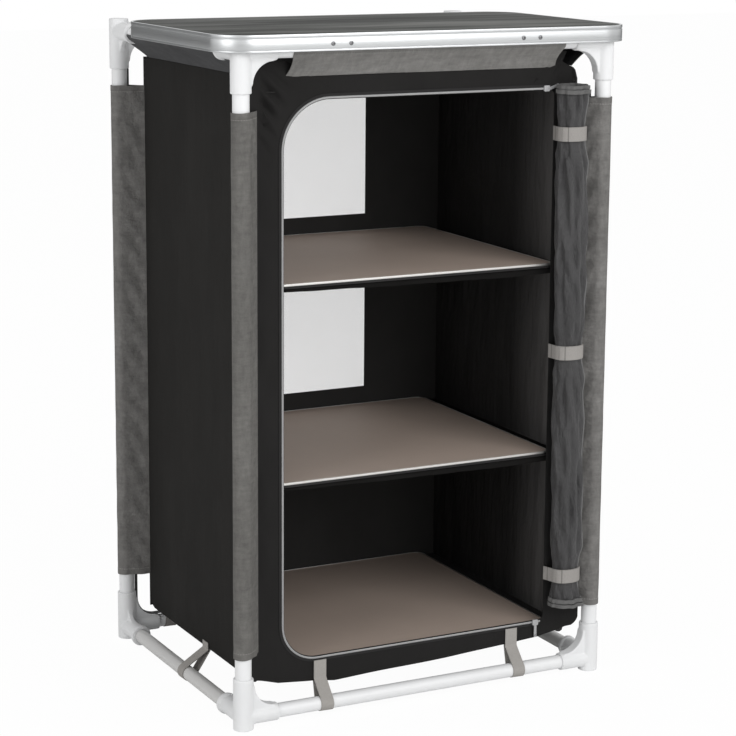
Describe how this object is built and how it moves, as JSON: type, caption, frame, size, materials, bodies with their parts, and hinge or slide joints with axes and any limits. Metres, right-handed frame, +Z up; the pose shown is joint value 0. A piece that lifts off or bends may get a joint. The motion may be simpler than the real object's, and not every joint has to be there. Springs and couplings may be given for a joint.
{
  "type": "fabric camp kitchen cupboard",
  "caption": "Folding camp kitchen cupboard: a cloth cabinet with shelves and a rolled-up zip door, hung in a white tube frame under a lift-off aluminium-edged worktop.",
  "frame": {"origin": "on the floor, in the middle of the whole part's footprint", "axes": "+Z up, +X to the viewer's right along the front, -Y out of the front"},
  "size_m": [0.69, 0.5238, 1.04],
  "materials": {
    "connector_plastic": "satin white moulded plastic",
    "white_tube": "white powder coat on aluminium tube",
    "worktop_laminate": "streaked slate-grey laminate, satin",
    "rim_aluminium": "brushed extrusion",
    "clip_plastic": "moulded",
    "cabinet_cloth": "black coated polyester, fine weave",
    "window_mesh": "white mosquito mesh",
    "shelf_board": "taupe coated fibreboard, matte",
    "grey_cloth": "grey polyester weave",
    "webbing": "grey woven webbing",
    "door_cloth": "dark grey coated polyester",
    "strap_tape": "light grey hook-and-loop tape",
    "zip_tape": "light grey coil zip",
    "zip_metal": "grey enamelled slider"
  },
  "bodies": {
    "cabinet": {"foot_connector_front_left": "connector_plastic", "foot_connector_front_right": "connector_plastic", "foot_connector_rear_left": "connector_plastic", "foot_connector_rear_right": "connector_plastic", "top_connector_front_left": "connector_plastic", "top_connector_front_right": "connector_plastic", "top_connector_rear_left": "connector_plastic", "top_connector_rear_right": "connector_plastic", "upright_front_left": "white_tube", "upright_front_right": "white_tube", "upright_rear_left": "white_tube", "upright_rear_right": "white_tube", "bottom_rail_front": "white_tube", "bottom_rail_rear": "white_tube", "bottom_rail_left": "white_tube", "bottom_rail_right": "white_tube", "top_rail_front": "white_tube", "top_rail_rear": "white_tube", "top_rail_left": "white_tube", "top_rail_right": "white_tube", "front_panel": "cabinet_cloth", "side_panel_left": "cabinet_cloth", "side_panel_right": "cabinet_cloth", "rear_panel": "cabinet_cloth", "roof_panel": "cabinet_cloth", "floor_panel": "cabinet_cloth", "shelf_sling_upper": "cabinet_cloth", "shelf_sling_lower": "cabinet_cloth", "mesh_window_upper": "window_mesh", "mesh_window_middle": "window_mesh", "sleeve_front_left": "grey_cloth", "sleeve_front_right": "grey_cloth", "sleeve_rear_left": "grey_cloth", "sleeve_rear_right": "grey_cloth", "valance_front": "grey_cloth", "valance_rear": "grey_cloth", "valance_left": "grey_cloth", "valance_right": "grey_cloth", "webbing_loop_front_left": "webbing", "webbing_loop_front_right": "webbing", "webbing_loop_rear_left": "webbing", "webbing_loop_rear_right": "webbing", "webbing_loop_left": "webbing", "webbing_loop_right": "webbing", "door_roll": "door_cloth", "door_zip": "zip_tape"},
    "worktop": {"worktop_board": "worktop_laminate", "worktop_rim": "rim_aluminium", "worktop_clip_left": "clip_plastic", "worktop_clip_right": "clip_plastic"},
    "upper_board": {"shelf_board_upper": "shelf_board"},
    "lower_board": {"shelf_board_lower": "shelf_board"},
    "base_board": {"floor_board": "shelf_board"},
    "strap_top": {"roll_strap_top": "strap_tape"},
    "strap_middle": {"roll_strap_middle": "strap_tape"},
    "strap_bottom": {"roll_strap_bottom": "strap_tape"},
    "slider_top": {"zip_slider_top": "zip_metal"},
    "slider_bottom": {"zip_slider_bottom": "zip_metal"}
  },
  "joints": [
    {"name": "worktop_lift", "type": "slide", "parent": "cabinet", "child": "worktop", "axis": [0, 0, 1], "range_m": [0, 0.12]},
    {"name": "upper_board_tilt", "type": "hinge", "parent": "cabinet", "child": "upper_board", "pos_m": [0, 0.225, 0.669], "axis": [-1, 0, 0], "range_deg": [0, 25]},
    {"name": "lower_board_tilt", "type": "hinge", "parent": "cabinet", "child": "lower_board", "pos_m": [0, 0.225, 0.366], "axis": [-1, 0, 0], "range_deg": [0, 25]},
    {"name": "base_board_tilt", "type": "hinge", "parent": "cabinet", "child": "base_board", "pos_m": [0, 0.225, 0.083], "axis": [-1, 0, 0], "range_deg": [0, 25]},
    {"name": "strap_top_open", "type": "hinge", "parent": "cabinet", "child": "strap_top", "pos_m": [0.2286, -0.2145, 0.875], "axis": [0, 0, -1], "range_deg": [0, 80]},
    {"name": "strap_middle_open", "type": "hinge", "parent": "cabinet", "child": "strap_middle", "pos_m": [0.2286, -0.2145, 0.532], "axis": [0, 0, -1], "range_deg": [0, 80]},
    {"name": "strap_bottom_open", "type": "hinge", "parent": "cabinet", "child": "strap_bottom", "pos_m": [0.2286, -0.2145, 0.168], "axis": [0, 0, -1], "range_deg": [0, 80]},
    {"name": "zip_top_run", "type": "slide", "parent": "cabinet", "child": "slider_top", "axis": [-1, 0, 0], "range_m": [0, 0.36]},
    {"name": "zip_bottom_run", "type": "slide", "parent": "cabinet", "child": "slider_bottom", "axis": [-1, 0, 0], "range_m": [0, 0.36]}
  ]
}
